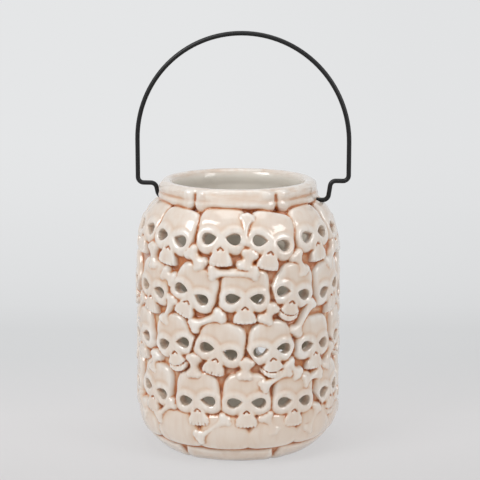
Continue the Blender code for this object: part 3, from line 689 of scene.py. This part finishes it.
class Nodes:
    def __init__(self, name):
        self.material = bpy.data.materials.new(name)
        self.material.use_nodes = True
        self.tree = self.material.node_tree
        self.shader = self.tree.nodes["Principled BSDF"]

    def add(self, kind, **settings):
        node = self.tree.nodes.new(kind)
        for key, value in settings.items():
            setattr(node, key, value)
        return node

    def link(self, start, end):
        self.tree.links.new(start, end)

    def attribute(self, name):
        return self.add("ShaderNodeAttribute", attribute_name=name).outputs["Fac"]

    def ramp(self, factor, stops):
        node = self.add("ShaderNodeValToRGB")
        ramp = node.color_ramp
        while len(ramp.elements) < len(stops):
            ramp.elements.new(0.5)
        for element, (place, colour) in zip(ramp.elements, stops):
            element.position = place
            element.color = (*colour, 1)
        self.link(factor, node.inputs["Fac"])
        return node.outputs["Color"]

    def range(self, value, low, high):
        node = self.add("ShaderNodeMapRange", clamp=True)
        node.inputs["From Min"].default_value = low
        node.inputs["From Max"].default_value = high
        self.link(value, node.inputs["Value"])
        return node.outputs["Result"]

    def mix(self, factor, first, second, blend="MIX"):
        node = self.add("ShaderNodeMix", data_type="RGBA", blend_type=blend)
        sockets = [s for s in node.inputs if s.enabled]
        for socket, value in zip(sockets, (factor, first, second)):
            if isinstance(value, bpy.types.NodeSocket):
                self.link(value, socket)
            elif isinstance(value, tuple):
                socket.default_value = (*value, 1)
            else:
                socket.default_value = value
        return [s for s in node.outputs if s.enabled][0]

    def maths(self, operation, first, second=0.0):
        node = self.add("ShaderNodeMath", operation=operation)
        for socket, value in zip(node.inputs, (first, second)):
            if isinstance(value, bpy.types.NodeSocket):
                self.link(value, socket)
            else:
                socket.default_value = value
        return node.outputs[0]

    def noise(self, scale, detail, roughness=0.5, stretch=None):
        coordinates = self.add("ShaderNodeTexCoord").outputs["Object"]
        if stretch:
            mapping = self.add("ShaderNodeMapping")
            mapping.inputs["Scale"].default_value = stretch
            self.link(coordinates, mapping.inputs["Vector"])
            coordinates = mapping.outputs["Vector"]
        node = self.add("ShaderNodeTexNoise")
        node.inputs["Scale"].default_value = scale
        node.inputs["Detail"].default_value = detail
        node.inputs["Roughness"].default_value = roughness
        self.link(coordinates, node.inputs["Vector"])
        return node.outputs["Fac"]

    def addBump(self, height, strength, distance):
        node = self.add("ShaderNodeBump")
        node.inputs["Strength"].default_value = strength
        node.inputs["Distance"].default_value = distance
        self.link(height, node.inputs["Height"])
        self.link(node.outputs["Normal"], self.shader.inputs["Normal"])


def fromScreen(red, green, blue):
    # a colour as a picture shows it, 0 to 255, made linear
    return tuple(((v / 255 + 0.055) / 1.055) ** 2.4 if v > 10 else v / 255 / 12.92
                 for v in (red, green, blue))


# The glaze, from the tops of the forms to the bottoms of the grooves
glazeLook = {
    "tops": [(0.0, (240, 235, 229)), (0.3, (232, 223, 213)), (0.48, (225, 209, 194)),
             (0.68, (214, 177, 142)), (0.86, (192, 132, 80)), (1.0, (174, 106, 52))],
    "topsSpan": (-1.4, 1.4), "cloud": (223, 202, 183), "strokes": (216, 190, 168),
    "rimStrokes": (208, 172, 142),
    "ground": (176, 98, 38), "crease": (184, 104, 44), "creaseSpan": (0.1, 0.4),
    "deep": (128, 58, 16), "deepSpan": (0.35, 0.85), "lining": ((230, 224, 213), (221, 212, 199)),
    "roughness": 0.2, "coat": 0.8, "coatRoughness": 0.06, "bumpStrength": 0.12, "bumpDistance": 0.0006,
}


def makeGlaze():
    look = glazeLook
    glaze = Nodes("stained_cream_glaze")
    close, broad, inside = (glaze.attribute(name) for name in ("close", "broad", "inside"))
    risen = glaze.attribute("risen")
    blotches = glaze.noise(90, 4, 0.6)
    wide = glaze.noise(22, 2)
    strokes = glaze.noise(240, 2, 0.5, (1, 1, 0.12))
    base = glaze.ramp(glaze.range(broad, *look["topsSpan"]),
                      [(place, fromScreen(*shade)) for place, shade in look["tops"]])
    cloudy = glaze.maths("MULTIPLY", glaze.range(wide, 0.4, 0.7), 0.45)
    base = glaze.mix(cloudy, base, fromScreen(*look["cloud"]))
    streaky = glaze.maths("MULTIPLY", glaze.range(strokes, 0.45, 0.75), 0.4)
    base = glaze.mix(streaky, base, fromScreen(*look["strokes"]))

    # the rim's strokes run round it
    height = glaze.add("ShaderNodeSeparateXYZ")
    glaze.link(glaze.add("ShaderNodeTexCoord").outputs["Object"], height.inputs["Vector"])
    wiped = glaze.range(glaze.noise(240, 3, 0.6, (0.22, 0.22, 1.4)), 0.5, 0.72)
    wiped = glaze.maths("MULTIPLY", wiped, glaze.range(height.outputs["Z"], 0.182, 0.186))
    base = glaze.mix(glaze.maths("MULTIPLY", wiped, 0.5), base, fromScreen(*look["rimStrokes"]))

    # the stain: on the ground between the forms, in the creases, and darkest where they are deepest
    low = glaze.maths("MULTIPLY", glaze.range(risen, 3.6, 1.9), glaze.range(blotches, 0.2, 0.6))
    base = glaze.mix(glaze.maths("MULTIPLY", low, 0.85), base, fromScreen(*look["ground"]))
    crease = glaze.maths("ADD", close, glaze.maths("MULTIPLY", glaze.maths("SUBTRACT", blotches, 0.5), 0.3))
    crease = glaze.range(crease, *look["creaseSpan"])
    base = glaze.mix(glaze.maths("MULTIPLY", crease, 0.92), base, fromScreen(*look["crease"]))
    base = glaze.mix(glaze.range(close, *look["deepSpan"]), base, fromScreen(*look["deep"]))
    paler, darker = look["lining"]
    lining = glaze.mix(glaze.maths("MULTIPLY", glaze.range(wide, 0.35, 0.7), 0.5),
                       fromScreen(*paler), fromScreen(*darker))
    glaze.link(glaze.mix(inside, base, lining), glaze.shader.inputs["Base Color"])

    rough = glaze.range(crease, 0, 1)
    rough = glaze.maths("MAXIMUM", glaze.maths("MULTIPLY", rough, 0.18), glaze.maths("MULTIPLY", inside, 0.25))
    glaze.link(glaze.maths("ADD", rough, look["roughness"]), glaze.shader.inputs["Roughness"])
    glaze.shader.inputs["Coat Weight"].default_value = look["coat"]
    glaze.shader.inputs["Coat Roughness"].default_value = look["coatRoughness"]
    glaze.addBump(glaze.noise(260, 3), look["bumpStrength"], look["bumpDistance"])
    return glaze.material


wireLook = {
    "shades": ((12, 12, 13), (22, 22, 23)), "roughness": 0.32, "roughSpread": 0.15, "specular": 0.35,
    "bumpStrength": 0.15, "bumpDistance": 0.0003,
}


def makeWirePaint():
    look = wireLook
    paint = Nodes("black_wire_paint")
    grain = paint.noise(900, 3)
    darker, paler = look["shades"]
    paint.link(paint.mix(grain, fromScreen(*darker), fromScreen(*paler)), paint.shader.inputs["Base Color"])
    rough = paint.maths("ADD", paint.maths("MULTIPLY", grain, look["roughSpread"]), look["roughness"])
    paint.link(rough, paint.shader.inputs["Roughness"])
    paint.shader.inputs["Specular IOR Level"].default_value = look["specular"]
    paint.addBump(grain, look["bumpStrength"], look["bumpDistance"])
    return paint.material


# Wire bail
wire = {
    "radius": 1.7, "shift": 3.2, "endRadius": 49.0, "legLean": 2.2,
    "rightLeg": 62.8, "rightStep": 14.2, "leftLeg": 62.4, "leftStep": 10.0,
    "halfSpan": 77.8, "archHeight": 224.2, "bend": 4.2, "bendSteps": 8, "archSteps": 64,
}


def roundedPath(corners, radius, steps):
    path = [Vector(corners[0])]
    for before, corner, after in zip(corners, corners[1:], corners[2:]):
        before, corner, after = Vector(before), Vector(corner), Vector(after)
        back, on = (before - corner).normalized(), (after - corner).normalized()
        half = back.angle(on) / 2
        reach = radius / math.tan(half)
        centre = corner + (back + on).normalized() * (radius / math.sin(half))
        start, end = corner + back * reach - centre, corner + on * reach - centre
        path += [centre + start.slerp(end, i / steps).normalized() * radius for i in range(steps + 1)]
    path.append(Vector(corners[-1]))
    return path


def bailSide(end, leg, rise):
    step = pivotHeight + rise
    span = wire["halfSpan"]
    return roundedPath([(end, 0, pivotHeight), (leg, 0, pivotHeight), (leg + wire["legLean"], 0, step),
                        (span, 0, step), (span, 0, wire["archHeight"])], wire["bend"], wire["bendSteps"])


def buildBail():
    span = wire["halfSpan"]
    right = bailSide(wire["endRadius"] - wire["shift"], wire["rightLeg"], wire["rightStep"])
    left = bailSide(wire["endRadius"] + wire["shift"], wire["leftLeg"], wire["leftStep"])
    turns = [math.pi * i / wire["archSteps"] for i in range(1, wire["archSteps"])]
    arch = [Vector((span * math.cos(t), 0, wire["archHeight"] + span * math.sin(t))) for t in turns]
    path = [*right, *arch, *(Vector((-p.x, 0, p.z)) for p in reversed(left))]
    curve = bpy.data.curves.new("wire_bail", "CURVE")
    curve.dimensions = "3D"
    curve.bevel_depth = wire["radius"] * mm
    curve.bevel_resolution = 6
    curve.use_fill_caps = True
    spline = curve.splines.new("POLY")
    spline.points.add(len(path) - 1)
    for point, place in zip(spline.points, path):
        point.co = ((place.x + wire["shift"]) * mm, place.y * mm, place.z * mm, 1)
    bail = bpy.data.objects.new("wire_bail", curve)
    bpy.context.collection.objects.link(bail)
    pickOnly(bail)
    bpy.ops.object.convert(target="MESH")
    bail = bpy.context.object
    bail.data.name = "wire_bail"
    bpy.ops.object.shade_smooth_by_angle(angle=math.radians(40))
    return bail


# Studio: a pale sweep with painted light falloff, soft light, and the camera
studio = {
    "distance": 1100.0, "height": 363.0, "azimuth": 8.0, "pitch": 10.93, "sideStep": 1.5, "lens": 113.9,
    "paperSize": (4.0, 3.0), "paperBack": 1.1, "paperBend": 0.9, "bendSteps": 16, "paperWall": 2.5,
    # painted shade: a factor darkens the paper's right side
    "paperDepths": (-0.1, 1.4), "litUntil": (0.05, 0.4), "litShare": 0.22, "rightPaintedShade": 0.972,
    # painted light: the paper's tones by depth and height stand in for the lamps' falloff, darker over the floor
    # and lighter up the wall
    "paperPaintedFalloff": [(-0.1, (207, 206, 207)), (0.05, (217, 216, 217)), (0.23, (212, 213, 214)),
                    (0.322, (213, 214, 215)), (0.426, (219, 220, 221)), (0.55, (222, 223, 224)),
                    (0.7, (224, 225, 226)), (1.05, (227, 228, 229)), (1.4, (229, 230, 231))],
    "softboxes": [("softbox_left", -50, 0.85, 1.0, (0.5, 0.5), 6.6),   # azimuth, height, distance, size, watts
                  ("softbox_right", 55, 0.75, 1.2, (0.45, 0.6), 5),
                  ("softbox_top", 10, 1.6, 0.15, (1.0, 1.0), 5.4)],
    "aim": (0, 0, 0.1),
    "litPaper": (244, 242, 240),
    "skyColour": (0.95, 0.97, 1.0), "skyStrength": 0.34,
}


def buildStage():
    bpy.ops.object.select_all(action="DESELECT")
    bpy.ops.mesh.primitive_plane_add(size=2)
    sweep = bpy.context.object
    sweep.name = "studio_sweep"
    sweep.scale = (*studio["paperSize"], 1)
    bakePlace(sweep)
    bpy.ops.object.mode_set(mode="EDIT")
    bpy.ops.mesh.select_all(action="DESELECT")
    bpy.ops.object.mode_set(mode="OBJECT")
    for vertex in sweep.data.vertices:
        vertex.select = vertex.co.y > 0
        if vertex.select:
            vertex.co.y = studio["paperBack"]
    for edge in sweep.data.edges:
        edge.select = all(sweep.data.vertices[v].select for v in edge.vertices)
    turn = math.radians(studio["azimuth"])
    rise, steps = studio["paperBend"], studio["bendSteps"]
    bpy.ops.object.mode_set(mode="EDIT")
    for i in range(steps):
        low, high = math.pi / 2 * i / steps, math.pi / 2 * (i + 1) / steps
        bpy.ops.mesh.extrude_region_move(TRANSFORM_OT_translate={"value": (
            0, rise * (math.sin(high) - math.sin(low)), rise * (math.cos(low) - math.cos(high)))})
    bpy.ops.mesh.extrude_region_move(TRANSFORM_OT_translate={"value": (0, 0, studio["paperWall"])})
    bpy.ops.object.mode_set(mode="OBJECT")
    sweep.rotation_euler = (0, 0, turn)
    sweep.location = (0, 0, -0.0001)
    bakePlace(sweep)
    bpy.ops.object.shade_smooth()
    paper = Nodes("studio_paper")
    paper.shader.inputs["Roughness"].default_value = 0.9
    paper.shader.inputs["Specular IOR Level"].default_value = 0.1
    axes = paper.add("ShaderNodeSeparateXYZ")
    paper.link(paper.add("ShaderNodeTexCoord").outputs["Object"], axes.inputs["Vector"])
    depth = paper.maths("ADD", paper.maths("MULTIPLY", axes.outputs["Y"], math.cos(turn)),
                        paper.maths("MULTIPLY", axes.outputs["X"], -math.sin(turn)))
    depth = paper.maths("ADD", depth, paper.maths("MULTIPLY", axes.outputs["Z"], 0.5))
    # painted light falloff: the paper's tone follows depth and height
    first, last = studio["paperDepths"]
    shades = [((reach - first) / (last - first), fromScreen(*shade)) for reach, shade in studio["paperPaintedFalloff"]]
    shade = paper.ramp(paper.range(depth, first, last), shades)
    # painted shade: the paper turns a little darker towards the right
    across = paper.maths("ADD", paper.maths("MULTIPLY", axes.outputs["X"], math.cos(turn)),
                         paper.maths("MULTIPLY", axes.outputs["Y"], math.sin(turn)))
    shade = paper.mix(paper.range(across, -0.05, 0.3), shade,
                      paper.mix(1.0, shade, (studio["rightPaintedShade"],) * 3, "MULTIPLY"))
    paper.shader.inputs["Base Color"].default_value = (*fromScreen(*studio["litPaper"]), 1)

    # the paper shows the camera its painted light falloff, darker over the floor and lighter up the wall; near the
    # jar a share of it is lit, and keeps the shadow
    glow = paper.add("ShaderNodeEmission")
    paper.link(shade, glow.inputs["Color"])
    rays = paper.add("ShaderNodeLightPath").outputs
    seen = paper.maths("MAXIMUM", rays["Is Camera Ray"], rays["Is Glossy Ray"])
    seen = paper.maths("MAXIMUM", seen, rays["Is Transmission Ray"])
    far = paper.maths("MULTIPLY", paper.range(depth, *studio["litUntil"]), studio["litShare"])
    far = paper.maths("MULTIPLY", seen, paper.maths("ADD", far, 1 - studio["litShare"]))
    blend = paper.add("ShaderNodeMixShader")
    paper.link(far, blend.inputs[0])
    paper.link(paper.shader.outputs["BSDF"], blend.inputs[1])
    paper.link(glow.outputs["Emission"], blend.inputs[2])
    paper.link(blend.outputs["Shader"], paper.tree.nodes["Material Output"].inputs["Surface"])
    sweep.data.materials.append(paper.material)


def addSoftbox(name, azimuth, height, distance, size, power):
    turn = math.radians(studio["azimuth"] + azimuth)
    lamp = bpy.data.lights.new(name, "AREA")
    lamp.shape = "RECTANGLE"
    lamp.size, lamp.size_y = size
    lamp.energy = power
    holder = bpy.data.objects.new(name, lamp)
    bpy.context.collection.objects.link(holder)
    place = Vector((distance * math.sin(turn), -distance * math.cos(turn), height))
    holder.location = place
    holder.rotation_euler = (Vector(studio["aim"]) - place).to_track_quat("-Z", "Y").to_euler()


def buildStudio():
    buildStage()
    for softbox in studio["softboxes"]:
        addSoftbox(*softbox)
    world = bpy.data.worlds.new("studio")
    bpy.context.scene.world = world
    world.use_nodes = True
    tree = world.node_tree
    sky = tree.nodes["Background"]
    sky.inputs["Color"].default_value = (*studio["skyColour"], 1)
    sky.inputs["Strength"].default_value = studio["skyStrength"]

    # past the paper's edge the camera sees the lightest tone of the paper's painted light falloff
    far = tree.nodes.new("ShaderNodeBackground")
    far.inputs["Color"].default_value = (*fromScreen(*studio["paperPaintedFalloff"][-1][1]), 1)
    blend = tree.nodes.new("ShaderNodeMixShader")
    rays = tree.nodes.new("ShaderNodeLightPath").outputs
    seen = [tree.nodes.new("ShaderNodeMath") for _ in range(2)]
    for node, first, second in ((seen[0], rays["Is Camera Ray"], rays["Is Glossy Ray"]),
                                (seen[1], seen[0].outputs[0], rays["Is Transmission Ray"])):
        node.operation = "MAXIMUM"
        tree.links.new(first, node.inputs[0])
        tree.links.new(second, node.inputs[1])
    tree.links.new(seen[1].outputs[0], blend.inputs[0])
    tree.links.new(sky.outputs["Background"], blend.inputs[1])
    tree.links.new(far.outputs["Background"], blend.inputs[2])
    tree.links.new(blend.outputs["Shader"], tree.nodes["World Output"].inputs["Surface"])

    camera = bpy.data.cameras.new("camera")
    camera.lens = studio["lens"]
    camera.sensor_width = 36
    holder = bpy.data.objects.new("camera", camera)
    bpy.context.collection.objects.link(holder)
    turn = math.radians(studio["azimuth"])
    away, side = studio["distance"] * mm, studio["sideStep"] * mm
    cosine, sine = math.cos(turn), math.sin(turn)
    holder.location = (away * sine + side * cosine, -away * cosine + side * sine, studio["height"] * mm)
    holder.rotation_euler = (math.radians(90 - studio["pitch"]), 0, turn)
    bpy.context.scene.camera = holder
    bpy.context.scene.view_settings.view_transform = "Standard"


buildStudio()
print("studio ready")

jarPiece = finishJar()
jarPiece.data.materials.clear()
jarPiece.data.materials.append(makeGlaze())
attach(jarPiece, "lantern")
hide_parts("lantern_body")
print("jar finished")

bail = buildBail()
bail.data.materials.append(makeWirePaint())
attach(bail, "bail")
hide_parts("bail_handle")
print("bail finished")
